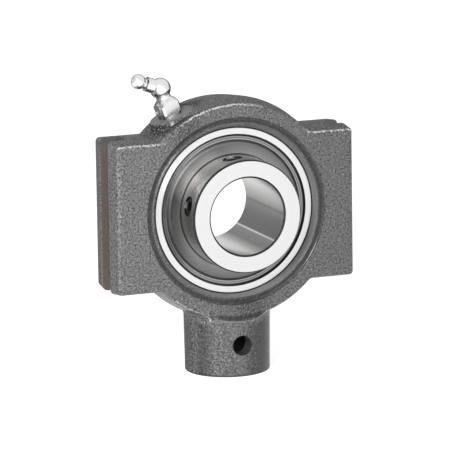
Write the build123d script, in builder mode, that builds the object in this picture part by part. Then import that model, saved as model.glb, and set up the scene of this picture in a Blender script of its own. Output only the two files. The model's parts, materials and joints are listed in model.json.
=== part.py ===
from build123d import *
from math import asin, cos, hypot, pi, radians, sin, sqrt, tan
import os

# Take up bearing unit, in millimetres. The origin is the centre of the bearing, the shaft runs along Y
# with the collar at the front (-Y), and the wings with the guide slots reach out along X.
# The shank with the rod socket points down, along -Z.

# Shaft and insert bearing, built up outward from the bore
shaft_diameter = 31.75
inner_wall = 7.4
inner_race_depth = 2.1
ball_diameter = 11.112
ball_count = 9
ball_play = 0.03
groove_extra_radius = 0.15
outer_wall = 3.653
outer_race_depth = 2.1
ring_half_width = 10.0
ring_face_width = 2.5
ring_edge_chamfer = 0.9
seal_seat_depth = 3.0
seal_seat_wall = 1.25
lube_hole_diameter = 1.6

# Inner ring and its set screws
collar_projection = 15.4
rear_projection = 7.5
collar_edge = 0.5
bore_chamfer = 0.7
screw_diameter = 7.9
screw_length = 6.0
screw_edge = 0.5
screw_setback = 8.1
screw_shaft_gap = 0.725
screw_thread_gap = 0.05
screw_socket_flats = 4.0
screw_socket_depth = 3.2
screw_angles = (98.0, 168.0)

# Cage of two stamped halves with rivets
cage_sheet = 0.8
cage_width = 3.4
cage_pocket_play = 0.12
rivet_diameter = 1.6
rivet_head_diameter = 2.8
rivet_head_height = 0.6
rivet_play = 0.05

# Seals and flingers
seal_sheet = 0.6
seal_skin = 0.25
seal_shelf_gap = 0.4
seal_bead = 0.3
seal_fit_gap = 0.05
seal_lip_width = 1.9
seal_lip_gap = 0.09
flinger_sheet = 0.8
flinger_press_gap = 0.02
flinger_rise = 0.2
flinger_flat_width = 4.6
flinger_cone_width = 1.3
flinger_step = 0.9
flinger_bend = 0.8
flinger_rim_flat = 0.08
flinger_ring_gap = 0.6
flinger_seal_gap = 0.15

# Housing
seat_gap = 0.05
body_wall = 10.05
front_lip = 3.6
rear_lip = 3.0
draft_angle = 6.5
slot_web = 8.45
slot_depth = 8.4
slot_width = 9.0
slot_edge = 0.6
wing_height = 64.3
wing_corner = 3.0
wing_root = 1.5
pad_root = 6.0
front_edge_round = 2.3
rear_edge_round = 1.8
seat_lip_gap = 0.2
seat_mouth_flare = 1.4
seat_crest_round = 0.4
face_groove_width = 3.0
face_groove_depth = 1.1
loading_slot_gap = 0.2
grease_groove_depth = 1.0
shank_diameter = 35.6
shank_taper = 0.5
shank_length = 22.0
shank_edge_round = 1.0
shank_root = 3.0
ledge_height = 0.1
ledge_round = 2.6
socket_diameter = 22.0
socket_web = 7.95
socket_chamfer = 0.8
cross_hole_diameter = 8.1
cross_hole_setback = 13.2

# Grease pad and bent grease fitting, whose axis leans to the left
grease_lean = 20.0
grease_offset = 8.4
grease_pad_diameter = 18.8
grease_pad_shift = 0.5
grease_pad_sink = 1.0
grease_pad_flank = 20.0
grease_pad_round = 0.5
grease_passage = 3.0
fitting_thread_diameter = 5.9
fitting_thread_length = 5.5
fitting_thread_gap = 0.05
fitting_hole_spare = 1.5
fitting_flange_diameter = 9.5
fitting_flange_height = 1.0
fitting_flats = 8.4
fitting_corner = 0.8
fitting_twist = 10.7
fitting_side_height = 4.0
fitting_bevel_diameter = 11.5
fitting_bevel_height = 2.8
fitting_neck_diameter = 6.0
elbow_diameter = 8.7
elbow_rise = 4.3
head_angle = 50.0
head_shoulder_diameter = 6.1
head_shoulder_reach = 6.9
head_neck_diameter = 4.4
head_ball_diameter = 6.2
head_ball_reach = 9.9
head_tip_diameter = 3.04
fitting_bore = 1.6
check_ball_diameter = 2.4
check_ball_play = 0.03
chamber_gap = 0.15
chamber_length = 7.0
chamber_tip_wall = 1.2
spring_wire = 0.3
spring_turns = 6
spring_gap = 0.1

# How far a cut runs out past the face that it opens, and how near an edge or a corner has to lie to
# its nominal place to be picked for a fillet
overrun = 1.0
pick_margin = 0.1

# Radii and places that follow from the sizes above
bore_radius = shaft_diameter / 2
land_radius = bore_radius + inner_wall
inner_race_radius = land_radius - inner_race_depth
ball_radius = ball_diameter / 2
pitch_radius = inner_race_radius + ball_play + ball_radius
outer_race_radius = pitch_radius + ball_radius + ball_play
outer_radius = outer_race_radius + outer_wall
outer_land_radius = outer_race_radius - outer_race_depth
groove_radius = ball_radius + groove_extra_radius
inner_groove_half = sqrt(groove_radius**2 - (groove_radius - inner_race_depth) ** 2)
outer_groove_half = sqrt(groove_radius**2 - (groove_radius - outer_race_depth) ** 2)
front_collar_face = ring_half_width + collar_projection
rear_collar_face = ring_half_width + rear_projection

seal_shelf = ring_half_width - seal_seat_depth
seal_seat_radius = outer_land_radius + seal_seat_wall
seal_inner_face = seal_shelf + seal_shelf_gap
seal_outer_face = seal_inner_face + seal_sheet
seal_case_radius = seal_seat_radius - seal_fit_gap - seal_bead
seal_lip_radius = land_radius + seal_lip_gap
seal_root_radius = seal_lip_radius + seal_lip_width
lube_hole_offset = (outer_groove_half + seal_shelf) / 2

seat_radius = outer_radius + seat_gap
seat_front = ring_half_width + seat_lip_gap
body_radius = seat_radius + body_wall
housing_front = -(ring_half_width + front_lip)
housing_rear = ring_half_width + rear_lip
slot_floor = seat_radius + slot_web
wing_half_span = slot_floor + slot_depth
shank_radius = shank_diameter / 2
shank_end = body_radius + shank_length
socket_roof = seat_radius + socket_web
cross_hole_height = shank_end - cross_hole_setback


def drafted(size, y):
    """A side wall's distance from the centre at depth y, leaning in to both sides of the parting plane."""
    return size - abs(y) * tan(radians(draft_angle))


def on_sphere(radius, y):
    """The distance from the shaft axis of a point of a centred sphere at depth y."""
    return sqrt(radius**2 - y**2)


def radial_plane(angle, y=0, radius=0):
    """A plane across the direction at angle in the XZ plane, its z pointing outward."""
    out = Vector(cos(radians(angle)), 0, sin(radians(angle)))
    return Plane(origin=out * radius + Vector(0, y, 0), x_dir=(0, 1, 0), z_dir=out)


def axial_plane(base):
    """A plane through the z axis of base: its x is the radius and its y runs along that axis."""
    return Plane(origin=base.origin, x_dir=base.x_dir, z_dir=-base.y_dir)


def finish(solid, name):
    """Labels one finished piece and writes its file."""
    solid.part.label = name
    export_step(solid.part, f"parts/{name}.step")


# The grease pad's plane, with its z along the fitting's axis and its x down and to the right
pad_out = Vector(-sin(radians(grease_lean)), 0, cos(radians(grease_lean)))
pad_along = Vector(cos(radians(grease_lean)), 0, sin(radians(grease_lean)))
pad_level = body_radius - grease_pad_sink
pad_plane = Plane(
    origin=pad_out * pad_level - pad_along * grease_offset, x_dir=pad_along, z_dir=pad_out
)
pad_radius = grease_pad_diameter / 2
pad_depth = pad_level - seat_radius
pad_foot_radius = pad_radius + pad_depth * tan(radians(grease_pad_flank))
pad_centre_plane = Plane(
    origin=pad_plane.origin + pad_along * grease_pad_shift, x_dir=pad_along, z_dir=pad_out
)

# Where the shank's flare meets the round body in the parting plane
root_angle = asin(shank_radius / body_radius)
root_reach = shank_root * tan((pi / 2 - root_angle) / 2)
root_low = (shank_radius, -body_radius * cos(root_angle) - root_reach)
root_high = (
    shank_radius + root_reach * cos(root_angle),
    -body_radius * cos(root_angle) + root_reach * sin(root_angle),
)

# Places of the set screws, the balls and the rivets round the shaft
screw_planes = [radial_plane(angle, y=screw_setback - front_collar_face) for angle in screw_angles]
ball_step = 360 / ball_count
ball_planes = [radial_plane(90 + i * ball_step, radius=pitch_radius) for i in range(ball_count)]
rivet_planes = [radial_plane(90 + (i + 0.5) * ball_step, radius=pitch_radius) for i in range(ball_count)]
pocket_radius = ball_radius + cage_pocket_play
cage_inner_radius = pitch_radius - cage_width / 2
cage_outer_radius = pitch_radius + cage_width / 2
rivet_head_radius = rivet_head_diameter / 2
rivet_tip = cage_sheet + rivet_head_height

# Levels of the flinger's section, measured outward from the middle of the bearing
flinger_bore = land_radius + flinger_press_gap
flinger_flat_radius = flinger_bore + flinger_flat_width
flinger_cone_radius = flinger_flat_radius + flinger_cone_width
flinger_rim_radius = seal_seat_radius - flinger_ring_gap
flinger_face = ring_half_width + flinger_rise
flinger_back = flinger_face - flinger_sheet
flinger_foot = seal_outer_face + seal_skin + flinger_seal_gap
flinger_slope = hypot(flinger_step, flinger_cone_width)
flinger_bend_shift = flinger_sheet * (flinger_slope - flinger_cone_width) / flinger_step

# Levels of the fitting along its own axis from the pad, and along its head from the elbow
fitting_axis = Axis(pad_plane.origin, pad_plane.z_dir)
fitting_thread_radius = fitting_thread_diameter / 2
fitting_bevel_radius = fitting_bevel_diameter / 2
fitting_top = fitting_flange_height + fitting_side_height + fitting_bevel_height
elbow_height = fitting_top + elbow_rise
head_direction = Vector(-sin(radians(grease_lean + head_angle)), 0, cos(radians(grease_lean + head_angle)))
head_plane = Plane(
    origin=pad_plane.offset(elbow_height).origin,
    x_dir=head_direction.cross(Vector(0, -1, 0)),
    z_dir=head_direction,
)
head_axis = Axis(head_plane.origin, head_plane.z_dir)
head_ball_radius = head_ball_diameter / 2
head_ball_back = on_sphere(head_ball_radius, head_neck_diameter / 2)
head_tip_radius = head_tip_diameter / 2
head_tip_reach = head_ball_reach + on_sphere(head_ball_radius, head_tip_radius)
chamber_radius = check_ball_diameter / 2 + chamber_gap
chamber_cone = head_tip_reach - chamber_tip_wall
chamber_floor = chamber_cone - chamber_length
check_ball_reach = chamber_cone + chamber_radius - (check_ball_diameter / 2 + check_ball_play) * sqrt(2)
spring_length = check_ball_reach - check_ball_diameter / 2 - chamber_floor - 2 * spring_gap

os.makedirs("parts", exist_ok=True)

# Housing: one casting with a round body, two slotted wings and a round shank
with BuildPart() as housing:
    # Round body and wings, drafted to both sides of the parting plane and rounded along both faces
    with BuildSketch(Plane.XZ) as outline:
        Rectangle(2 * wing_half_span, wing_height)
        fillet(outline.vertices(), wing_corner)
        Circle(body_radius)
        roots = outline.vertices().filter_by(lambda v: hypot(v.X, v.Y) < body_radius + pick_margin)
        pad_side = roots.sort_by(lambda v: v.Y - v.X)[-1]
        fillet(roots.filter_by(lambda v: v != pad_side), wing_root)
        fillet(pad_side, pad_root)
    extrude(amount=-housing_front, taper=draft_angle)
    extrude(outline.sketch, amount=-housing_rear, taper=draft_angle)
    fillet(housing.faces().sort_by(Axis.Y)[0].edges(), front_edge_round)
    fillet(housing.faces().sort_by(Axis.Y)[-1].edges(), rear_edge_round)

    # Shank, flared where it meets the body and standing proud of both faces
    with BuildSketch(Plane.XZ):
        with BuildLine():
            Polyline((0, -shank_end), (shank_radius - shank_taper / 2, -shank_end), root_low)
            TangentArc(root_low, root_high, tangent=(0, 1))
            Polyline(root_high, (root_high[0], -seat_radius), (0, -seat_radius), (0, -shank_end))
        make_face()
    revolve(axis=Axis.Z)
    fillet(housing.faces().sort_by(Axis.Z)[0].edges(), shank_edge_round)

    # In front of and behind the faces the shank ends in a ledge that follows the round body
    for face_y, outward in ((housing_front, -1), (housing_rear, 1)):
        ledge_radius = drafted(body_radius, face_y) + ledge_height
        with BuildSketch(Plane.XY):
            with BuildLine():
                Line((0, face_y), (ledge_radius - ledge_round, face_y))
                TangentArc(
                    (ledge_radius - ledge_round, face_y),
                    (ledge_radius, face_y + outward * ledge_round),
                    tangent=(1, 0),
                )
                Polyline(
                    (ledge_radius, face_y + outward * ledge_round),
                    (ledge_radius, face_y + outward * shank_radius),
                    (0, face_y + outward * shank_radius),
                    (0, face_y),
                )
            make_face()
        revolve(axis=Axis.Y, mode=Mode.SUBTRACT)

    # Round pad for the grease fitting, let a little way into the crown of the body
    with BuildSketch(axial_plane(pad_centre_plane)):
        with BuildLine():
            Line((0, -pad_depth), (0, 0))
            Line((0, 0), (pad_radius - grease_pad_round, 0))
            TangentArc(
                (pad_radius - grease_pad_round, 0),
                (pad_radius, -grease_pad_round),
                tangent=(1, 0),
            )
            Polyline((pad_radius, -grease_pad_round), (pad_foot_radius, -pad_depth), (0, -pad_depth))
        make_face()
    revolve(axis=Axis(pad_centre_plane.origin, pad_centre_plane.z_dir))
    with BuildSketch(pad_centre_plane):
        Circle(pad_radius)
    extrude(amount=grease_pad_sink + overrun, mode=Mode.SUBTRACT)

    # Spherical seat, its flared mouth and the shallow groove round it in the front face
    mouth_radius = on_sphere(seat_radius, seat_front) + seat_mouth_flare
    face_groove_radius = mouth_radius + face_groove_width
    with BuildSketch(Plane.XY):
        with BuildLine():
            Polyline(
                (0, housing_front - overrun),
                (face_groove_radius, housing_front - overrun),
                (face_groove_radius, housing_front),
            )
            ThreePointArc(
                (face_groove_radius, housing_front),
                (mouth_radius + face_groove_width / 2, housing_front + face_groove_depth),
                (mouth_radius, housing_front),
            )
            Line((mouth_radius, housing_front), (on_sphere(seat_radius, seat_front), -seat_front))
            ThreePointArc(
                (on_sphere(seat_radius, seat_front), -seat_front),
                (seat_radius, 0),
                (on_sphere(seat_radius, housing_rear), housing_rear),
            )
            Polyline(
                (on_sphere(seat_radius, housing_rear), housing_rear),
                (on_sphere(seat_radius, housing_rear), housing_rear + overrun),
                (0, housing_rear + overrun),
                (0, housing_front - overrun),
            )
        make_face()
    revolve(axis=Axis.Y, mode=Mode.SUBTRACT)
    face_circles = housing.edges().filter_by(GeomType.CIRCLE)
    crest = face_circles.filter_by(lambda e: abs(e.radius - mouth_radius) < pick_margin)
    fillet(crest, seat_crest_round)

    # Two slots at the rear of the seat, where the bearing goes in edgeways before it is turned
    with BuildSketch(Plane.XZ.offset(-housing_rear)):
        Circle(seat_radius)
        Rectangle(
            2 * seat_radius,
            2 * (ring_half_width + loading_slot_gap),
            mode=Mode.INTERSECT,
        )
    extrude(amount=housing_rear, mode=Mode.SUBTRACT)

    # Grease groove in the seat, from the fitting's passage to the ring's holes
    with BuildSketch(Plane.XY):
        with Locations((seat_radius, lube_hole_offset / 2)):
            Rectangle(2 * grease_groove_depth, lube_hole_offset + lube_hole_diameter + grease_groove_depth)
    revolve(axis=Axis.Y, mode=Mode.SUBTRACT)

    # Guide slots in the ends of the wings, with broken edges
    with BuildSketch(Plane.XY):
        for side in (-1, 1):
            near_mouth = drafted(wing_half_span, -slot_width / 2)
            far_mouth = drafted(wing_half_span, slot_width / 2)
            with BuildLine():
                Polyline(
                    (side * slot_floor, -slot_width / 2),
                    (side * (near_mouth - slot_edge), -slot_width / 2),
                    (side * (near_mouth + slot_edge), -slot_width / 2 - 2 * slot_edge),
                    (side * (far_mouth + slot_edge), slot_width / 2 + 2 * slot_edge),
                    (side * (far_mouth - slot_edge), slot_width / 2),
                    (side * slot_floor, slot_width / 2),
                    close=True,
                )
            make_face()
    extrude(amount=wing_height, both=True, mode=Mode.SUBTRACT)

    # Rod socket up the shank and the cross hole through its walls
    with BuildSketch(Plane.XY.offset(-shank_end)):
        Circle(socket_diameter / 2)
    extrude(amount=shank_end - socket_roof, mode=Mode.SUBTRACT)
    chamfer(housing.faces().sort_by(Axis.Z)[0].inner_wires()[0].edges(), socket_chamfer)
    with BuildSketch(Plane.XZ):
        with Locations((0, -cross_hole_height)):
            Circle(cross_hole_diameter / 2)
    extrude(amount=shank_diameter, both=True, mode=Mode.SUBTRACT)

    # Tapped hole for the fitting and the passage on to the grease groove
    with Locations(pad_plane):
        Hole(fitting_thread_radius + fitting_thread_gap, depth=fitting_thread_length + fitting_hole_spare)
        Hole(grease_passage / 2, depth=pad_level - on_sphere(seat_radius, grease_offset))
finish(housing, "housing")

# Outer ring: spherical outside, ball groove, seal seats and two grease holes
with BuildPart() as outer_ring:
    with BuildSketch(Plane.XY):
        with BuildLine():
            chamfer_start = ring_half_width - ring_edge_chamfer
            face_outer_radius = seal_seat_radius + ring_face_width
            Line((seal_seat_radius, -ring_half_width), (face_outer_radius, -ring_half_width))
            Line(
                (face_outer_radius, -ring_half_width),
                (on_sphere(outer_radius, chamfer_start), -chamfer_start),
            )
            ThreePointArc(
                (on_sphere(outer_radius, chamfer_start), -chamfer_start),
                (outer_radius, 0),
                (on_sphere(outer_radius, chamfer_start), chamfer_start),
            )
            Polyline(
                (on_sphere(outer_radius, chamfer_start), chamfer_start),
                (face_outer_radius, ring_half_width),
                (seal_seat_radius, ring_half_width),
                (seal_seat_radius, seal_shelf),
                (outer_land_radius, seal_shelf),
                (outer_land_radius, outer_groove_half),
            )
            ThreePointArc(
                (outer_land_radius, outer_groove_half),
                (outer_race_radius, 0),
                (outer_land_radius, -outer_groove_half),
            )
            Polyline(
                (outer_land_radius, -outer_groove_half),
                (outer_land_radius, -seal_shelf),
                (seal_seat_radius, -seal_shelf),
                (seal_seat_radius, -ring_half_width),
            )
        make_face()
    revolve(axis=Axis.Y)
    with BuildSketch(Plane.XY):
        with Locations((0, lube_hole_offset)):
            Circle(lube_hole_diameter / 2)
    extrude(amount=2 * outer_radius, both=True, mode=Mode.SUBTRACT)
finish(outer_ring, "outer_ring")

# Inner ring: bore, ball groove and the long collar with two tapped holes
with BuildPart() as inner_ring:
    with BuildSketch(Plane.XY):
        with BuildLine():
            Polyline(
                (bore_radius, -front_collar_face + bore_chamfer),
                (bore_radius + bore_chamfer, -front_collar_face),
                (land_radius - collar_edge, -front_collar_face),
                (land_radius, -front_collar_face + collar_edge),
                (land_radius, -inner_groove_half),
            )
            ThreePointArc(
                (land_radius, -inner_groove_half),
                (inner_race_radius, 0),
                (land_radius, inner_groove_half),
            )
            Polyline(
                (land_radius, inner_groove_half),
                (land_radius, rear_collar_face - collar_edge),
                (land_radius - collar_edge, rear_collar_face),
                (bore_radius + bore_chamfer, rear_collar_face),
                (bore_radius, rear_collar_face - bore_chamfer),
                (bore_radius, -front_collar_face + bore_chamfer),
            )
        make_face()
    revolve(axis=Axis.Y)
    for plane in screw_planes:
        with BuildSketch(plane):
            Circle(screw_diameter / 2 + screw_thread_gap)
        extrude(amount=land_radius + screw_length, mode=Mode.SUBTRACT)
finish(inner_ring, "inner_ring")

# Set screws with hexagon sockets
for number, plane in enumerate(screw_planes, start=1):
    with BuildPart() as set_screw:
        tip_plane = plane.offset(bore_radius + screw_shaft_gap)
        with BuildSketch(tip_plane):
            Circle(screw_diameter / 2)
        extrude(amount=screw_length)
        chamfer(set_screw.edges(), screw_edge)
        with BuildSketch(tip_plane.offset(screw_length)):
            RegularPolygon(screw_socket_flats / 2, 6, major_radius=False)
        extrude(amount=-screw_socket_depth, mode=Mode.SUBTRACT)
    finish(set_screw, f"set_screw_{number}")

# Balls, evenly spaced round the shaft
for number in range(ball_count):
    with BuildPart(ball_planes[number]) as ball:
        Sphere(ball_radius)
    finish(ball, f"ball_{number + 1}")

# Cage halves: a flat ribbon with a round pocket round each ball. The poles and seams of the pockets'
# spheres are turned away from the ribbon, so that they cut it cleanly
for name, outward in (("cage_front_half", -1), ("cage_rear_half", 1)):
    tilt = Vector(0, -outward, 0)
    pocket_planes = [
        Plane(origin=p.origin, x_dir=tilt - p.z_dir, z_dir=tilt + p.z_dir) for p in ball_planes
    ]
    with BuildPart() as cage_half:
        with Locations(*pocket_planes):
            Sphere(pocket_radius + cage_sheet)
        with BuildSketch(Plane.XZ):
            Circle(cage_outer_radius)
            Circle(cage_inner_radius, mode=Mode.SUBTRACT)
        extrude(amount=-outward * ball_diameter, mode=Mode.INTERSECT)
        with BuildSketch(Plane.XZ):
            Circle(cage_outer_radius)
            Circle(cage_inner_radius, mode=Mode.SUBTRACT)
            with Locations(*[(p.origin.X, p.origin.Z) for p in rivet_planes]):
                Circle(rivet_diameter / 2 + rivet_play, mode=Mode.SUBTRACT)
        extrude(amount=-outward * cage_sheet)
        with Locations(*pocket_planes):
            Sphere(pocket_radius, mode=Mode.SUBTRACT)
    finish(cage_half, name)

# Rivets between the balls, with a dome head on each side
with BuildPart() as cage_rivets:
    for plane in rivet_planes:
        with BuildSketch(Plane(origin=plane.origin, x_dir=plane.z_dir, z_dir=plane.y_dir)):
            with BuildLine():
                Line((0, -rivet_tip), (0, rivet_tip))
                TangentArc((0, rivet_tip), (rivet_head_radius, cage_sheet), tangent=(1, 0))
                Polyline(
                    (rivet_head_radius, cage_sheet),
                    (rivet_diameter / 2, cage_sheet),
                    (rivet_diameter / 2, -cage_sheet),
                    (rivet_head_radius, -cage_sheet),
                )
                TangentArc((0, -rivet_tip), (rivet_head_radius, -cage_sheet), tangent=(1, 0))
            make_face()
        revolve(axis=Axis(plane.origin, Vector(0, 1, 0)))
finish(cage_rivets, "cage_rivets")

# Seals and flingers, the same on both sides
for side, outward in (("front", -1), ("rear", 1)):
    # Sheet steel ring whose outer edge turns in to the shelf of the outer ring
    with BuildPart() as seal_case:
        with BuildSketch(Plane.XY):
            with BuildLine():
                Polyline(
                    (seal_root_radius, outward * seal_inner_face),
                    (seal_case_radius - seal_sheet, outward * seal_inner_face),
                    (seal_case_radius - seal_sheet, outward * (seal_shelf + seal_fit_gap)),
                    (seal_case_radius, outward * (seal_shelf + seal_fit_gap)),
                    (seal_case_radius, outward * seal_outer_face),
                    (seal_root_radius, outward * seal_outer_face),
                    close=True,
                )
            make_face()
        revolve(axis=Axis.Y)
    finish(seal_case, f"{side}_seal_case")

    # Rubber over that ring, with a bead against the outer ring and a lip on the inner ring
    with BuildPart() as seal_lip:
        with BuildSketch(Plane.XY):
            with BuildLine():
                Polyline(
                    (seal_root_radius, outward * seal_inner_face),
                    (seal_root_radius, outward * seal_outer_face),
                    (seal_case_radius, outward * seal_outer_face),
                    (seal_case_radius, outward * seal_inner_face),
                    (seal_case_radius + seal_bead, outward * seal_inner_face),
                    (seal_case_radius + seal_bead, outward * (seal_outer_face + seal_skin)),
                    (seal_lip_radius + seal_skin, outward * (seal_outer_face + seal_skin)),
                    (seal_lip_radius, outward * seal_outer_face),
                    (seal_lip_radius, outward * (seal_inner_face + seal_skin)),
                    (seal_lip_radius + seal_skin, outward * seal_inner_face),
                    close=True,
                )
            make_face()
        revolve(axis=Axis.Y)
    finish(seal_lip, f"{side}_seal_lip")

    # Pressed disc on the inner ring that throws dirt off before it reaches the seal
    with BuildPart() as flinger:
        with BuildSketch(Plane.XY) as flinger_section:
            with BuildLine():
                Polyline(
                    (flinger_bore, outward * flinger_foot),
                    (flinger_bore, outward * flinger_face),
                    (flinger_flat_radius, outward * flinger_face),
                    (flinger_cone_radius, outward * (flinger_face - flinger_step)),
                    (flinger_rim_radius, outward * (flinger_face - flinger_step)),
                    (flinger_rim_radius, outward * (flinger_back - flinger_step)),
                    (flinger_cone_radius - flinger_bend_shift, outward * (flinger_back - flinger_step)),
                    (flinger_flat_radius - flinger_bend_shift, outward * flinger_back),
                    (flinger_bore + flinger_sheet, outward * flinger_back),
                    (flinger_bore + flinger_sheet, outward * flinger_foot),
                    close=True,
                )
            make_face()
            bends = flinger_section.vertices().filter_by(
                lambda v: flinger_flat_radius - flinger_sheet < v.X < flinger_cone_radius + pick_margin
            )
            fillet(bends, flinger_bend)
            rim = flinger_section.vertices().sort_by(Axis.X)[-2:]
            fillet(rim, flinger_sheet / 2 - flinger_rim_flat)
        revolve(axis=Axis.Y)
    finish(flinger, f"{side}_flinger")

# Bent grease fitting: a threaded foot, a square to turn it by, an elbow and a ball head
with BuildPart() as grease_fitting_body:
    with BuildSketch(pad_plane.offset(fitting_flange_height)) as square:
        Rectangle(fitting_flats, fitting_flats, rotation=fitting_twist)
        chamfer(square.vertices(), fitting_corner)
    extrude(amount=fitting_top - fitting_flange_height)
    with BuildSketch(axial_plane(pad_plane)):
        with BuildLine():
            Polyline(
                (0, fitting_flange_height),
                (fitting_bevel_radius - fitting_corner, fitting_flange_height),
                (fitting_bevel_radius, fitting_flange_height + fitting_corner),
                (fitting_bevel_radius, fitting_top - fitting_bevel_height),
                (fitting_neck_diameter / 2, fitting_top),
                (0, fitting_top),
                close=True,
            )
        make_face()
    revolve(axis=fitting_axis, mode=Mode.INTERSECT)
    with BuildSketch(axial_plane(pad_plane)):
        with BuildLine():
            Polyline(
                (0, -fitting_thread_length),
                (fitting_thread_radius - fitting_corner / 2, -fitting_thread_length),
                (fitting_thread_radius, fitting_corner / 2 - fitting_thread_length),
                (fitting_thread_radius, 0),
                (fitting_flange_diameter / 2, 0),
                (fitting_flange_diameter / 2, fitting_flange_height),
                (fitting_neck_diameter / 2, fitting_flange_height),
                (fitting_neck_diameter / 2, elbow_height),
                (0, elbow_height),
                close=True,
            )
        make_face()
    revolve(axis=fitting_axis)
    with Locations(head_plane):
        Sphere(elbow_diameter / 2)
    with BuildSketch(axial_plane(head_plane)):
        with BuildLine():
            Polyline(
                (0, head_tip_reach),
                (0, 0),
                (head_shoulder_diameter / 2, 0),
                (head_shoulder_diameter / 2, head_shoulder_reach - fitting_corner / 2),
                (head_neck_diameter / 2, head_shoulder_reach),
                (head_neck_diameter / 2, head_ball_reach - head_ball_back),
            )
            ThreePointArc(
                (head_neck_diameter / 2, head_ball_reach - head_ball_back),
                (head_ball_radius, head_ball_reach),
                (head_tip_radius, head_tip_reach),
            )
            Line((head_tip_radius, head_tip_reach), (0, head_tip_reach))
        make_face()
    revolve(axis=head_axis)
    # Grease way up the foot, and the chamber of the check ball behind its cone in the tip
    with BuildSketch(axial_plane(pad_plane)):
        with Locations((fitting_bore / 4, (elbow_height - fitting_thread_length) / 2)):
            Rectangle(fitting_bore / 2, elbow_height + fitting_thread_length)
    revolve(axis=fitting_axis, mode=Mode.SUBTRACT)
    with BuildSketch(axial_plane(head_plane)):
        with BuildLine():
            Polyline(
                (0, 0),
                (fitting_bore / 2, 0),
                (fitting_bore / 2, chamber_floor),
                (chamber_radius, chamber_floor),
                (chamber_radius, chamber_cone),
                (fitting_bore / 2, chamber_cone + chamber_radius - fitting_bore / 2),
                (fitting_bore / 2, head_tip_reach),
                (0, head_tip_reach),
                close=True,
            )
        make_face()
    revolve(axis=head_axis, mode=Mode.SUBTRACT)
finish(grease_fitting_body, "grease_fitting_body")

# Check ball just behind its cone, and the coil spring that pushes it there
with BuildPart(head_plane.offset(check_ball_reach)) as check_ball:
    Sphere(check_ball_diameter / 2)
finish(check_ball, "fitting_check_ball")

with BuildPart() as fitting_spring:
    with BuildLine() as coil:
        Helix(
            pitch=(spring_length - spring_wire) / spring_turns,
            height=spring_length - spring_wire,
            radius=chamber_radius - chamber_gap - spring_wire,
            center=head_plane.offset(chamber_floor + spring_gap + spring_wire / 2).origin,
            direction=head_plane.z_dir,
        )
    with BuildSketch(Plane(origin=coil.line @ 0, z_dir=coil.line % 0)):
        Circle(spring_wire / 2)
    sweep()
finish(fitting_spring, "fitting_spring")
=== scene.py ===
import json
from math import cos, radians, sin

import bpy
from mathutils import Matrix, Vector


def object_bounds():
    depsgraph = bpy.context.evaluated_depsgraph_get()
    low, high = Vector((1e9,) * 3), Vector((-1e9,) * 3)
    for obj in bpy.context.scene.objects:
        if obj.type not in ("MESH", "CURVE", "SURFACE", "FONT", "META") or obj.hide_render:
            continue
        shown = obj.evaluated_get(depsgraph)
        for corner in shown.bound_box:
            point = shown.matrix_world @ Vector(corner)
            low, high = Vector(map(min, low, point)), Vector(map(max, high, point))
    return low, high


# Take up bearing unit. Lengths are in metres, in the frame's own axes: the shaft runs along Y with the
# collar at the front (-Y), the wings reach out along X, and the shank points down.

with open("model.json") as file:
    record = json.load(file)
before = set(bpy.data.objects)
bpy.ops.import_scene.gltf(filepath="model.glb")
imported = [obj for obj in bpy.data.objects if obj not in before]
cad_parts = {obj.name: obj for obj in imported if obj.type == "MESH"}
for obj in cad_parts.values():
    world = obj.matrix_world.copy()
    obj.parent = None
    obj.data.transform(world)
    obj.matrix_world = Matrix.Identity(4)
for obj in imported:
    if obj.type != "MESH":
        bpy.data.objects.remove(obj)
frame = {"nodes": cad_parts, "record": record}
cad_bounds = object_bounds()
scene = bpy.context.scene
mounts = {mount["name"]: mount for mount in frame["record"]["mounts"]}

# Camera, in front of the unit, to the left of the shaft and a little above it
CAMERA_YAW = radians(21.22)
CAMERA_PITCH = radians(10.82)
CAMERA_ROLL = radians(0.85)
CAMERA_DISTANCE = 1.7433
PHOTO_SIDE = 450
PIXELS_PER_METRE = 2441
ORIGIN_IN_PHOTO = (225.0, 206.15)

# Light
AMBIENT = 0.25
FLOOR_LIFT = 0.78
FLOOR_SIDE = 40

# The insert: its inner ring with the collar, its outer ring, and where its flingers turn darker on the
# left
BORE_RADIUS = mounts["shaft_bore"]["dims"]["r_mm"] / 1000
LAND_RADIUS = 0.023275
COLLAR_FACE = -0.0254
COLLAR_CHAMFER = 0.0011
COLLAR_BACK = -0.010
BORE_MOUTH = COLLAR_FACE + 0.0006
SCREW_HOLE_TOP = LAND_RADIUS - 0.0004
RING_LIP_RADIUS = 0.0334
RING_SHADE_END = 0.012
LEFT_DARKENING_EDGE = -0.028

# The housing: its front face, the groove and lip round its seat, and the body's outline
FRONT_FACE = -0.0136
FRONT_ROUND = 0.0023
EDGE_MIDDLE = FRONT_FACE + 0.3 * FRONT_ROUND
SEAT_RADIUS = 0.03605
SEAT_MOUTH = 0.0008
LIP_RADIUS = 0.0362
GROOVE_INNER = 0.0360
GROOVE_OUTER = 0.0390
GROOVE_MIDDLE = (GROOVE_INNER + GROOVE_OUTER) / 2
GROOVE_SHADE = 0.72 * (GROOVE_OUTER - GROOVE_INNER)
BODY_RADIUS = 0.0461
WING_START = 0.033

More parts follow.
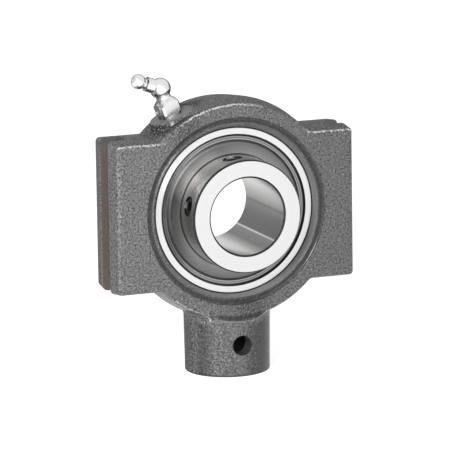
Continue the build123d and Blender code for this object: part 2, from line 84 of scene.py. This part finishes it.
# Its machined places: guide slots, grease pad, rod socket and cross hole
SLOT_FLOOR = mounts["right_guide_slot"]["pos_m"][0]
SLOT_HALF_WIDTH = 0.0045
RUST_TOP = 0.027
GREASE_LEAN = radians(20)
PAD_LEVEL = 0.0451
PAD_CENTRE = -0.0079
PAD_RADIUS = 0.0093
PAD_SHADE_RADIUS = 0.0110
SOCKET_RADIUS = mounts["rod_socket"]["dims"]["r_mm"] / 1000
SOCKET_MOUTH = 0.0009
SOCKET_TOP = -SEAT_RADIUS - 0.001
CROSS_HOLE_RADIUS = mounts["cross_pin_hole"]["dims"]["r_mm"] / 1000
CROSS_HOLE_HEIGHT = mounts["cross_pin_hole"]["pos_m"][2]
SHANK_RADIUS = 0.0178
SHANK_TOP = -0.0475

# Stretches of the front face's edge and of the pad's rim that get painted highlights
CROWN_LEFT = -0.0225
CROWN_RIGHT = 0.004
LEFT_WING_EDGE = -0.034
RIGHT_WING_EDGE = 0.032
LOW_EDGE_TOP = -0.035
LOW_EDGE_RIGHT = -0.0085
PAD_RIM_LEFT = 0.006
PAD_RIM_BACK = -0.002

# The ledge where the body's front face runs down into the shank, with painted shade and then a painted
# highlight line
LEDGE_RADIUS = 0.0438
LEDGE_LINE_RADIUS = LEDGE_RADIUS + 0.0013
LEDGE_HALF_WIDTH = 0.008
LEDGE_TOP = -0.03
LEDGE_BACK = FRONT_FACE + 0.0011

# Where the grease fitting's head ends; to the right of it its left sides get a painted dark reflection
FITTING_NECK = -0.0385

# How far the painted light, pale on the left and dark on the right, reaches to each side
PALER_REACH = 0.055

# How far a mask reaches past the surface that it covers
PLAY = 0.0001

# Places and greys, set by trial: of painted highlights and shade round the collar and in the bore from
# bottom to top, of painted rings of highlight and shade on the flingers from inside to outside, and of
# painted bands of light and shade on the shank from left to right
COLLAR_GLEAMS = (
    (-0.0233, 0.95),
    (-0.0190, 0.95),
    (-0.0130, 0.95),
    (-0.0080, 0.60),
    (0.0000, 0.42),
    (0.0100, 0.50),
    (0.0150, 0.95),
    (0.0180, 0.60),
    (0.0215, 0.95),
    (0.0233, 0.50),
)
BORE_GLEAMS = (
    (-0.0158, 0.65),
    (-0.0152, 0.34),
    (-0.0140, 0.11),
    (-0.0113, 0.19),
    (-0.0109, 0.75),
    (-0.0105, 0.08),
    (-0.0070, 0.10),
    (-0.0012, 0.14),
    (-0.0003, 0.08),
    (0.0010, 0.22),
    (0.0090, 0.55),
    (0.0158, 0.26),
)
FLINGER_LIGHT_RINGS = (
    (0.0240, 0.22),
    (0.0262, 0.16),
    (0.0276, 0.12),
    (0.0281, 0.16),
    (0.0286, 0.05),
    (0.0291, 0.04),
    (0.0295, 0.40),
    (0.0299, 0.04),
    (0.0303, 0.34),
    (0.0307, 0.03),
    (0.0311, 0.06),
)
SHANK_BANDS = (
    (-0.0178, 0.64),
    (-0.0167, 1.0),
    (-0.0148, 0.52),
    (-0.0106, 1.0),
    (-0.0050, 1.0),
    (0.0010, 0.95),
    (0.0035, 0.55),
    (0.0080, 0.33),
    (0.0178, 0.40),
)


# Camera
def make_camera():
    """The camera at the photograph's viewing angle, with the shift that its framing needs."""
    right = Vector((cos(CAMERA_YAW), -sin(CAMERA_YAW), 0))
    back = Vector(
        (
            -sin(CAMERA_YAW) * cos(CAMERA_PITCH),
            -cos(CAMERA_YAW) * cos(CAMERA_PITCH),
            sin(CAMERA_PITCH),
        )
    )
    up = back.cross(right)
    turned_right = right * cos(CAMERA_ROLL) - up * sin(CAMERA_ROLL)
    turned_up = right * sin(CAMERA_ROLL) + up * cos(CAMERA_ROLL)
    data = bpy.data.cameras.new("camera")
    data.sensor_width = 36
    data.lens = data.sensor_width * CAMERA_DISTANCE * PIXELS_PER_METRE / PHOTO_SIDE
    data.shift_x = 0.5 - ORIGIN_IN_PHOTO[0] / PHOTO_SIDE
    data.shift_y = ORIGIN_IN_PHOTO[1] / PHOTO_SIDE - 0.5
    data.clip_end = 100
    camera = bpy.data.objects.new("camera", data)
    scene.collection.objects.link(camera)
    place = back * CAMERA_DISTANCE
    camera.matrix_world = Matrix(
        (
            (turned_right.x, turned_up.x, back.x, place.x),
            (turned_right.y, turned_up.y, back.y, place.y),
            (turned_right.z, turned_up.z, back.z, place.z),
            (0, 0, 0, 1),
        )
    )
    scene.camera = camera


# Short calls for shader nodes
def node(tree, kind, inputs=None, **settings):
    """Adds a node, sets its attributes, and links or sets its inputs by name or number."""
    made = tree.nodes.new(kind)
    for key, value in settings.items():
        setattr(made, key, value)
    for key, value in (inputs or {}).items():
        if isinstance(value, bpy.types.NodeSocket):
            tree.links.new(value, made.inputs[key])
        else:
            made.inputs[key].default_value = value
    return made


def calc(tree, operation, *values):
    """The result of a Math node."""
    return node(tree, "ShaderNodeMath", dict(enumerate(values)), operation=operation).outputs[0]


def chain(tree, operation, first, *others):
    """Joins values one after the other by the same operation."""
    for value in others:
        first = calc(tree, operation, first, value)
    return first


def product(tree, *values):
    """All values multiplied: where every mask holds."""
    return chain(tree, "MULTIPLY", *values)


def total(tree, *values):
    """All values added."""
    return chain(tree, "ADD", *values)


def largest(tree, *values):
    """The largest value: where any mask holds."""
    return chain(tree, "MAXIMUM", *values)


def off(tree, value, place):
    """How far a value is from a place."""
    return calc(tree, "ABSOLUTE", calc(tree, "SUBTRACT", value, place))


def length(tree, first, second):
    """The length of a line with these two parts."""
    squares = total(tree, product(tree, first, first), product(tree, second, second))
    return calc(tree, "SQRT", squares)


def step(tree, value, low, high, smooth=True):
    """0 below low and 1 above high, or the other way round where low is the larger."""
    inputs = {"Value": value, "From Min": low, "From Max": high}
    kind = "SMOOTHSTEP" if smooth else "LINEAR"
    return node(tree, "ShaderNodeMapRange", inputs, interpolation_type=kind).outputs["Result"]


def above(tree, value, limit, fade):
    """1 above a limit, fading to 0 below it."""
    return step(tree, value, limit - fade, limit)


def below(tree, value, limit, fade):
    """1 below a limit, fading to 0 above it."""
    return step(tree, value, limit + fade, limit)


def near(tree, value, place, within, fade):
    """1 near a place, fading to 0 farther off."""
    return below(tree, off(tree, value, place), within, fade)


def between(tree, value, low, high):
    """A value from 0 to 1, spread to run from low to high."""
    inputs = {"Value": value, "To Min": low, "To Max": high}
    return node(tree, "ShaderNodeMapRange", inputs).outputs["Result"]


def blend(tree, factor, first, second, kind="MIX"):
    """Mixes two colours. The Mix node takes them in sockets 6 and 7 and gives the result in 2."""
    inputs = {0: factor, 6: first, 7: second}
    return node(tree, "ShaderNodeMix", inputs, data_type="RGBA", blend_type=kind).outputs[2]


def noise(tree, vector, size, detail=3.0, roughness=0.55):
    """Noise from 0 to 1 whose patches are about size across."""
    inputs = {"Vector": vector, "Scale": 1 / size, "Detail": detail, "Roughness": roughness}
    return node(tree, "ShaderNodeTexNoise", inputs).outputs["Fac"]


def grey(value, warmth=0.0):
    """A grey, slightly warm or cold."""
    return (value * (1 + warmth), value, value * (1 - warmth), 1)


def ramp(tree, value, low, high, stops, warmth=0.0):
    """Greys that run evenly from stop to stop, where value goes from low to high."""
    made = node(tree, "ShaderNodeValToRGB", {0: step(tree, value, low, high, smooth=False)})
    elements = made.color_ramp.elements
    for count, (place, shade) in enumerate(stops):
        spot = (place - low) / (high - low)
        element = elements[count] if count < 2 else elements.new(spot)
        element.position = spot
        element.color = grey(shade, warmth)
    return made.outputs["Color"]


def crease_shade(tree, distance):
    """A mask for painted shade: 1 in creases and 0 in the open."""
    made = node(tree, "ShaderNodeAmbientOcclusion", {"Distance": distance}, samples=8)
    return step(tree, made.outputs["AO"], 0.80, 0.40)


def edges(tree, radius):
    """1 along edges and 0 on flats, from how far a rounded normal leaves the real one."""
    rounded = node(tree, "ShaderNodeBevel", {"Radius": radius}, samples=6).outputs[0]
    real = node(tree, "ShaderNodeNewGeometry").outputs["Normal"]
    dot = node(tree, "ShaderNodeVectorMath", {0: rounded, 1: real}, operation="DOT_PRODUCT")
    return step(tree, calc(tree, "SUBTRACT", 1.0, dot.outputs["Value"]), 0.02, 0.18)


def bump(tree, height, distance):
    """A bumped normal."""
    return node(tree, "ShaderNodeBump", {"Height": height, "Distance": distance}).outputs[0]


def wire(tree, shader, **sockets):
    """Links sockets to the shader's inputs, whose names are written with underscores."""
    for name, socket in sockets.items():
        tree.links.new(socket, shader.inputs[name.replace("_", " ")])


class Place:
    """Where a point of the surface is, and which way it faces there, as sockets of a material."""

    def __init__(self, tree):
        self.point = node(tree, "ShaderNodeTexCoord").outputs["Object"]
        self.x, self.y, self.z = node(tree, "ShaderNodeSeparateXYZ", {0: self.point}).outputs
        local = node(
            tree,
            "ShaderNodeVectorTransform",
            {0: node(tree, "ShaderNodeNewGeometry").outputs["True Normal"]},
            vector_type="NORMAL",
            convert_from="WORLD",
            convert_to="OBJECT",
        ).outputs[0]
        self.nx, self.ny, self.nz = node(tree, "ShaderNodeSeparateXYZ", {0: local}).outputs
        self.radius = length(tree, self.x, self.z)
        self.depth = calc(tree, "ABSOLUTE", self.y)
        self.reach = calc(tree, "ABSOLUTE", self.x)


class PadPlace:
    """Where a point is as seen from the middle of the leaning grease pad, as sockets."""

    def __init__(self, tree, at):
        along = total(
            tree,
            product(tree, at.x, -sin(GREASE_LEAN)),
            product(tree, at.z, cos(GREASE_LEAN)),
        )
        self.across = total(
            tree,
            product(tree, at.x, cos(GREASE_LEAN)),
            product(tree, at.z, sin(GREASE_LEAN)),
            -PAD_CENTRE,
        )
        self.reach = length(tree, self.across, at.y)
        self.height = off(tree, along, PAD_LEVEL)


def start(name, metallic=0.0):
    """A new material with its tree, its shader and its places."""
    material = bpy.data.materials.new(name)
    material.use_nodes = True
    tree = material.node_tree
    tree.nodes.clear()
    shader = node(tree, "ShaderNodeBsdfPrincipled", {"Metallic": metallic})
    output = node(tree, "ShaderNodeOutputMaterial")
    tree.links.new(shader.outputs[0], output.inputs["Surface"])
    return material, tree, shader, Place(tree)


def cover(tree, colour, mask, shade, strength=1.0):
    """Lays a shade over a colour where a mask holds."""
    return blend(tree, product(tree, mask, strength), colour, shade)


# Cast iron
def machined_masks(tree, at, pad):
    """Masks of the housing's machined places: slots, pad, drilled holes and seat."""
    in_slot = product(
        tree,
        above(tree, at.reach, SLOT_FLOOR - PLAY, fade=0.0002),
        below(tree, at.depth, SLOT_HALF_WIDTH + PLAY, fade=0.0001),
    )
    on_pad = product(
        tree,
        below(tree, pad.height, 0.00005, fade=0.00005),
        below(tree, pad.reach, PAD_RADIUS, fade=PLAY),
    )
    in_socket = product(
        tree,
        below(tree, length(tree, at.x, at.y), SOCKET_RADIUS + SOCKET_MOUTH, fade=0.0003),
        below(tree, at.z, SOCKET_TOP, fade=0.001),
    )
    hole_reach = length(tree, at.x, calc(tree, "SUBTRACT", at.z, CROSS_HOLE_HEIGHT))
    in_hole = below(tree, hole_reach, CROSS_HOLE_RADIUS + PLAY, fade=0.0001)
    in_seat = product(
        tree,
        below(tree, at.radius, SEAT_RADIUS + SEAT_MOUTH, fade=0.0004),
        step(tree, at.ny, -0.9, -0.7),
    )
    return in_slot, on_pad, largest(tree, in_socket, in_hole), in_seat


def highlit_edge(tree, at):
    """The rounded edge of the front face, where a highlight is painted: crown, wings, low left, facing
    left.
    """
    on_edge = product(
        tree,
        near(tree, at.y, EDGE_MIDDLE, within=0.00016, fade=0.00032),
        step(tree, calc(tree, "ABSOLUTE", at.ny), 0.95, 0.85),
        above(tree, at.radius, GROOVE_OUTER + 0.001, fade=0.001),
        largest(
            tree,
            below(tree, at.radius, BODY_RADIUS, fade=0.0006),
            above(tree, at.reach, WING_START, fade=0.001),
        ),
    )
    on_crown = product(
        tree,
        above(tree, at.x, CROWN_LEFT, fade=0.002),
        below(tree, at.x, CROWN_RIGHT, fade=0.012),
    )
    on_wing = largest(
        tree,
        below(tree, at.x, LEFT_WING_EDGE, fade=0.0025),
        above(tree, at.x, RIGHT_WING_EDGE, fade=0.002),
    )
    on_top = product(tree, step(tree, at.nz, 0.1, 0.5), largest(tree, on_crown, on_wing))
    low_left = product(
        tree,
        below(tree, at.z, LOW_EDGE_TOP, fade=0.003),
        below(tree, at.x, LOW_EDGE_RIGHT, fade=0.0019),
        below(tree, at.radius, BODY_RADIUS, fade=0.0006),
        near(tree, at.y, EDGE_MIDDLE, within=0.0001, fade=0.0003),
    )
    facing_left = product(tree, step(tree, at.nx, -0.2, -0.6), 0.15)
    return product(tree, on_edge, largest(tree, on_top, low_left, facing_left))


def highlit_pad_rim(tree, at, pad):
    """The rim of the grease pad, on its right half in front, where a highlight is painted."""
    return product(
        tree,
        near(tree, pad.reach, PAD_RADIUS, within=0.0001, fade=0.0003),
        below(tree, pad.height, 0.0003, fade=0.0003),
        above(tree, pad.across, PAD_RIM_LEFT, fade=0.003),
        below(tree, at.y, PAD_RIM_BACK, fade=0.003),
    )


def sand_skin(tree, at, pad, grain):
    """Colour of the cast skin: cloudy patches, sand grains, painted glints on their tips, painted shade
    in the groove, creases and round the pad, edge wear, and painted highlights along edges.
    """
    clouds = noise(tree, at.point, size=0.009, detail=4)
    skin = blend(tree, clouds, grey(0.16), grey(0.225, 0.01))
    # Dark sand grains, and painted glints on the bright ones
    skin = cover(tree, skin, step(tree, grain, 0.50, 0.37), grey(0.045))
    skin = cover(tree, skin, step(tree, grain, 0.54, 0.68), grey(0.46))

    # Painted light, paler to the left; painted shade on the left-facing faces behind the slots; darker on
    # the lip round the insert; painted bands of light and shade on the shank
    paler = between(tree, step(tree, at.x, -PALER_REACH, PALER_REACH, smooth=False), 1.22, 0.90)
    skin = node(tree, "ShaderNodeVectorMath", {0: skin, 1: paler}, operation="MULTIPLY").outputs[0]
    behind_slot = product(
        tree,
        above(tree, at.y, SLOT_HALF_WIDTH + PLAY, fade=0.0006),
        step(tree, at.nx, -0.5, -0.9),
    )
    skin = cover(tree, skin, behind_slot, grey(0.02), strength=0.3)
    skin = cover(tree, skin, below(tree, at.radius, LIP_RADIUS, fade=0.0004), grey(0.03), strength=0.2)
    bands = ramp(tree, at.x, -SHANK_RADIUS, SHANK_RADIUS, SHANK_BANDS)
    skin = blend(tree, below(tree, at.z, SHANK_TOP, fade=0.0025), skin, bands, kind="MULTIPLY")

    # Painted shade in the groove, in creases and round the pad
    in_groove = product(
        tree,
        near(tree, at.radius, GROOVE_MIDDLE, within=0.0, fade=GROOVE_SHADE),
        below(tree, at.y, FRONT_FACE + 0.0012, fade=0.0004),
    )
    pad_shade = product(
        tree,
        below(tree, pad.reach, PAD_SHADE_RADIUS, fade=0.0065),
        above(tree, pad.height, 0.0006, fade=0.0004),
        step(tree, grain, 0.62, 0.56),
    )
    skin = cover(tree, skin, in_groove, grey(0.022), strength=0.88)
    skin = cover(tree, skin, crease_shade(tree, distance=0.003), grey(0.025), strength=0.75)
    skin = cover(tree, skin, pad_shade, grey(0.02), strength=0.85)

    # The ledge over the shank: painted shade and a painted highlight line
    on_ledge = product(
        tree,
        below(tree, at.reach, LEDGE_HALF_WIDTH, fade=0.004),
        below(tree, at.z, LEDGE_TOP, fade=0.01),
        below(tree, at.y, LEDGE_BACK, fade=0.001),
    )
    shaded = near(tree, at.radius, LEDGE_RADIUS, within=0.0003, fade=0.0008)
    highlight_line = near(tree, at.radius, LEDGE_LINE_RADIUS, within=0.0001, fade=0.0002)
    skin = cover(tree, skin, product(tree, on_ledge, shaded), grey(0.03), strength=0.65)
    skin = cover(tree, skin, product(tree, on_ledge, highlight_line), grey(0.5), strength=0.4)

    # Edge wear and painted highlights along edges, broken up by the grain
    wear_and_highlight = product(
        tree,
        edges(tree, radius=0.0006),
        step(tree, grain, 0.30, 0.60),
        step(tree, at.nz, -0.2, 0.5),
    )
    edge_highlights = largest(tree, highlit_edge(tree, at), highlit_pad_rim(tree, at, pad))
    edge_highlights = product(tree, edge_highlights, step(tree, grain, 0.40, 0.54))
    return cover(tree, skin, largest(tree, wear_and_highlight, edge_highlights), grey(0.9))


def cast_iron():
    """Sand cast iron with a thin dull coat: a grainy skin with glints, and smooth machined places."""
    material, tree, shader, at = start("cast_iron")
    shader.inputs["Specular IOR Level"].default_value = 0.22
    shader.inputs["Coat Roughness"].default_value = 0.22
    pad = PadPlace(tree, at)
    grain = noise(tree, at.point, size=0.0008, detail=3, roughness=0.75)
    cut_marks = noise(tree, at.point, size=0.0016, detail=5, roughness=0.7)
    in_slot, on_pad, drilled, in_seat = machined_masks(tree, at, pad)
    machined = largest(tree, in_slot, on_pad, drilled, in_seat)

    # Rust on the slots' rear walls, bare cut iron on the pad and the seat, and dark holes
    rust = blend(tree, cut_marks, (0.10, 0.077, 0.066, 1), (0.20, 0.157, 0.135, 1))
    bright = blend(tree, cut_marks, grey(0.14), grey(0.22))
    dark = blend(tree, cut_marks, grey(0.03), grey(0.07))
    rusty = product(
        tree,
        in_slot,
        step(tree, at.ny, -0.4, -0.6),
        below(tree, at.z, RUST_TOP, fade=0.0035),
    )
    colour = sand_skin(tree, at, pad, grain)
    colour = cover(tree, colour, in_slot, grey(0.10, 0.04))
    colour = cover(tree, colour, rusty, rust)
    colour = cover(tree, colour, on_pad, bright)
    colour = cover(tree, colour, drilled, dark)
    colour = cover(tree, colour, in_seat, bright)

    # Relief: sand grains, a slight orange peel and a few pits on the skin, cut marks elsewhere
    peel = noise(tree, at.point, size=0.0026, detail=3)
    pits = step(tree, noise(tree, at.point, size=0.0031, detail=1), 0.70, 0.78)
    sand = total(tree, product(tree, grain, 1.1), product(tree, peel, 0.8), product(tree, pits, -0.8))
    relief = total(
        tree,
        product(tree, sand, calc(tree, "SUBTRACT", 1.0, machined)),
        product(tree, cut_marks, 0.12, machined),
    )
    dusty = largest(tree, step(tree, at.nz, 0.45, 0.85), step(tree, at.nx, -0.6, -0.95))
    wire(
        tree,
        shader,
        Base_Color=colour,
        Roughness=between(tree, product(tree, grain, machined), 0.62, 0.40),
        Coat_Weight=between(tree, largest(tree, machined, dusty), 0.5, 0.0),
        Normal=bump(tree, relief, distance=0.0014),
    )
    return material


# Metal of the insert and the fitting
def ground_steel(name, face, side, paint_sides):
    """Ground rings: end faces with fine round marks, sides painted by a function, and dark edges."""
    material, tree, shader, at = start(name, metallic=1.0)
    on_face = step(tree, calc(tree, "ABSOLUTE", at.ny), 0.90, 0.97)
    section = node(tree, "ShaderNodeCombineXYZ", {0: at.radius, 1: at.y}).outputs[0]
    marks = noise(tree, section, size=0.00035, detail=4, roughness=0.7)
    smears = noise(tree, at.point, size=0.006, detail=4)
    sides = blend(tree, smears, grey(side * 0.85, 0.05), grey(side * 1.15, 0.03))
    sides = paint_sides(tree, at, sides)
    faces = blend(tree, marks, grey(face * 0.95), grey(face * 1.05))
    colour = blend(tree, on_face, sides, faces)
    colour = cover(tree, colour, edges(tree, radius=0.0004), grey(0.06), strength=0.85)
    wire(
        tree,
        shader,
        Base_Color=colour,
        Roughness=total(tree, between(tree, marks, 0.22, 0.34), product(tree, on_face, 0.12)),
        Normal=bump(tree, marks, distance=0.000012),
    )
    return material


def shaded_lip(tree, at, sides):
    """The outer ring's sides, with a line of painted shade inside its face, to the left and in the
    middle.
    """
    shade_line = product(
        tree,
        near(tree, at.radius, RING_LIP_RADIUS, within=0.0003, fade=0.0002),
        below(tree, at.x, RING_SHADE_END, fade=0.010),
    )
    return cover(tree, sides, shade_line, grey(0.015))


def collar_and_bore(tree, at, sides):
    """The inner ring's sides: painted gleams and shade round the collar and in the bore, dark holes and
    chamfers.
    """
    smears = noise(tree, at.point, size=0.006, detail=4)
    # Painted highlights and shade round the collar
    gleams = ramp(tree, at.z, -LAND_RADIUS, LAND_RADIUS, COLLAR_GLEAMS, warmth=0.04)
    sides = blend(tree, between(tree, smears, 0.0, 0.4), gleams, sides)
    sides = cover(tree, sides, below(tree, at.y, COLLAR_FACE + COLLAR_CHAMFER, fade=0.0003), grey(0.06))
    in_hole = product(
        tree,
        below(tree, at.radius, SCREW_HOLE_TOP, fade=0.0003),
        below(tree, at.y, COLLAR_BACK, fade=0.001),
    )
    sides = cover(tree, sides, in_hole, grey(0.02))
    # Painted highlights and shade in the bore
    inside = ramp(tree, at.z, -BORE_RADIUS, BORE_RADIUS, BORE_GLEAMS, warmth=0.02)
    stretched = node(tree, "ShaderNodeMapping", {0: at.point, "Scale": (1, 0.12, 1)}).outputs[0]
    streaks = noise(tree, stretched, size=0.0035, detail=4)
    inside = blend(tree, between(tree, streaks, 0.0, 0.35), inside, grey(0.15))
    inside = cover(tree, inside, below(tree, at.y, BORE_MOUTH, fade=0.0003), grey(0.05))
    return cover(tree, sides, below(tree, at.radius, BORE_RADIUS + 0.0002, fade=0.0007), inside)


def sheet_metal(name, low, high, roughness, rings=None):
    """Pressed or plated sheet: faint drawing marks round the shaft, smears, painted rings of highlight
    and shade where given, a line of painted shade round the collar, darker on the left.
    """
    material, tree, shader, at = start(name, metallic=1.0)
    section = node(tree, "ShaderNodeCombineXYZ", {0: at.radius, 1: at.y}).outputs[0]
    marks = noise(tree, section, size=0.0004, detail=3, roughness=0.6)
    smears = noise(tree, at.point, size=0.0045, detail=4)
    colour = blend(tree, smears, grey(low), grey(high))
    colour = cover(tree, colour, marks, grey(high * 1.2), strength=0.35)
    if rings is None:
        colour = cover(tree, colour, edges(tree, radius=0.00025), grey(0.7), strength=0.7)
    else:
        # Painted rings of highlight and shade on the flingers' rim
        ring_light = ramp(tree, at.radius, rings[0][0], rings[-1][0], rings)
        colour = blend(tree, between(tree, smears, 0.95, 0.65), colour, ring_light)
    # Painted shade: a dark line where the sheet meets the collar
    colour = cover(tree, colour, below(tree, at.radius, LAND_RADIUS + 0.0002, fade=0.0003), grey(0.02))
    left_darkening = product(tree, below(tree, at.x, LEFT_DARKENING_EDGE, fade=0.012), between(tree, smears, 0.45, 0.95))
    colour = cover(tree, colour, left_darkening, grey(0.03))
    wire(
        tree,
        shader,
        Base_Color=colour,
        Roughness=between(tree, smears, roughness - 0.05, roughness + 0.08),
        Normal=bump(tree, marks, distance=0.00001),
    )
    return material


def rubber():
    """Black seal rubber, matt with a fine moulded skin."""
    material, tree, shader, at = start("seal_rubber")
    skin = noise(tree, at.point, size=0.0004, detail=3)
    dust = noise(tree, at.point, size=0.003, detail=4)
    wire(
        tree,
        shader,
        Base_Color=blend(tree, dust, grey(0.012), grey(0.03)),
        Roughness=between(tree, skin, 0.5, 0.7),
        Normal=bump(tree, skin, distance=0.00003),
    )
    return material


def black_oxide():
    """Set screws: black oxide with edges that are bright from wear."""
    material, tree, shader, at = start("black_oxide", metallic=0.9)
    smears = noise(tree, at.point, size=0.0012, detail=4)
    colour = blend(tree, smears, grey(0.018), grey(0.05))
    colour = cover(tree, colour, edges(tree, radius=0.0002), grey(0.35), strength=0.6)
    wire(
        tree,
        shader,
        Base_Color=colour,
        Roughness=between(tree, smears, 0.3, 0.5),
        Normal=bump(tree, smears, distance=0.00002),
    )
    return material


def polished_steel(name, value, roughness):
    """Balls, spring wire and other polished steel, with faint handling marks."""
    material, tree, shader, at = start(name, metallic=1.0)
    smears = noise(tree, at.point, size=0.0025, detail=5)
    wire(
        tree,
        shader,
        Base_Color=blend(tree, smears, grey(value * 0.92), grey(value)),
        Roughness=between(tree, smears, roughness, roughness + 0.08),
        Normal=bump(tree, smears, distance=0.000004),
    )
    return material


def zinc_plate():
    """Bright zinc on the grease fitting, dull in patches, with painted highlights on its edges and a
    painted dark reflection at the left foot and on the right.
    """
    material, tree, shader, at = start("zinc_plate", metallic=1.0)
    shader.inputs["Specular Tint"].default_value = grey(0.12)
    smears = noise(tree, at.point, size=0.0018, detail=4)
    fine = noise(tree, at.point, size=0.0003, detail=2)
    colour = blend(tree, smears, grey(0.70), grey(0.86))
    # Painted highlights on the edges
    colour = cover(tree, colour, edges(tree, radius=0.0003), grey(0.98), strength=0.5)
    left_foot = product(
        tree,
        step(tree, at.nx, -0.5, -0.7),
        step(tree, smears, 0.30, 0.55),
        above(tree, at.x, FITTING_NECK + 0.001, fade=0.002),
    )
    # Painted dark reflection on the left foot's left-facing sides and on the sides facing right
    dark_reflection = largest(tree, left_foot, step(tree, at.nx, 0.45, 0.75))
    colour = cover(tree, colour, dark_reflection, grey(0.15), strength=0.9)
    wire(
        tree,
        shader,
        Base_Color=colour,
        Roughness=between(tree, smears, 0.16, 0.30),
        Normal=bump(tree, fine, distance=0.000008),
    )
    return material


# Floor, world and lamps
def seen(tree):
    """1 for rays that see the background as the camera, a mirror or glass does, and 0 for others."""
    path = node(tree, "ShaderNodeLightPath").outputs
    return largest(tree, path["Is Camera Ray"], path["Is Glossy Ray"], path["Is Transmission Ray"])


def make_floor(level):
    """A plain white floor, lifted to white where it is seen, that still takes the shadow."""
    bpy.ops.mesh.primitive_plane_add(size=FLOOR_SIDE, location=(0, 0, level))
    floor = bpy.context.object
    floor.name = "floor"
    material = bpy.data.materials.new("floor_white")
    material.use_nodes = True
    tree = material.node_tree
    tree.nodes.clear()
    shader = node(
        tree,
        "ShaderNodeBsdfPrincipled",
        {
            "Base Color": grey(0.86),
            "Roughness": 0.9,
            "Specular IOR Level": 0.0,
            "Emission Color": grey(1.0),
            "Emission Strength": product(tree, seen(tree), FLOOR_LIFT),
        },
    )
    output = node(tree, "ShaderNodeOutputMaterial")
    tree.links.new(shader.outputs[0], output.inputs["Surface"])
    floor.data.materials.append(material)


def make_world():
    """White where it is seen, and a soft even light otherwise."""
    world = bpy.data.worlds.new("studio")
    scene.world = world
    world.use_nodes = True
    tree = world.node_tree
    tree.nodes.clear()
    background = node(
        tree,
        "ShaderNodeBackground",
        {"Color": grey(1.0), "Strength": between(tree, seen(tree), AMBIENT, 1.0)},
    )
    output = node(tree, "ShaderNodeOutputWorld")
    tree.links.new(background.outputs[0], output.inputs["Surface"])


def make_lamp(name, place, side, power):
    """A square soft box that looks at the unit."""
    data = bpy.data.lights.new(name, "AREA")
    data.size = side
    data.energy = power
    lamp = bpy.data.objects.new(name, data)
    scene.collection.objects.link(lamp)
    lamp.location = place
    lamp.rotation_euler = (-Vector(place)).to_track_quat("-Z", "Y").to_euler()


def dress(material, *names):
    """Gives CAD nodes a material."""
    for name in names:
        mesh = frame["nodes"][name].data
        mesh.materials.clear()
        mesh.materials.append(material)


make_camera()

ball_names = [name for name in frame["nodes"] if name.startswith("ball_")]
dress(cast_iron(), "housing")
dress(ground_steel("outer_ring_steel", face=0.62, side=0.38, paint_sides=shaded_lip), "outer_ring")
dress(ground_steel("inner_ring_steel", face=0.60, side=0.58, paint_sides=collar_and_bore), "inner_ring")
dress(
    sheet_metal("pressed_sheet", low=0.14, high=0.24, roughness=0.45, rings=FLINGER_LIGHT_RINGS),
    "front_flinger",
    "rear_flinger",
)
dress(
    sheet_metal("plated_sheet", low=0.10, high=0.16, roughness=0.35),
    "front_seal_case",
    "rear_seal_case",
)
dress(
    sheet_metal("cage_strip", low=0.40, high=0.55, roughness=0.28),
    "cage_front_half",
    "cage_rear_half",
    "cage_rivets",
)
dress(rubber(), "front_seal_lip", "rear_seal_lip")
dress(black_oxide(), "set_screw_1", "set_screw_2")
dress(polished_steel("ball_steel", value=0.85, roughness=0.04), *ball_names, "fitting_check_ball")
dress(polished_steel("spring_wire", value=0.55, roughness=0.2), "fitting_spring")
dress(zinc_plate(), "grease_fitting_body")

make_floor(cad_bounds[0].z)
make_world()
make_lamp("left_box", (-0.9, -1.25, 0.6), side=0.35, power=23)
make_lamp("front_box", (0.2, -3.0, 0.7), side=1.0, power=16)

scene.view_settings.view_transform = "Standard"
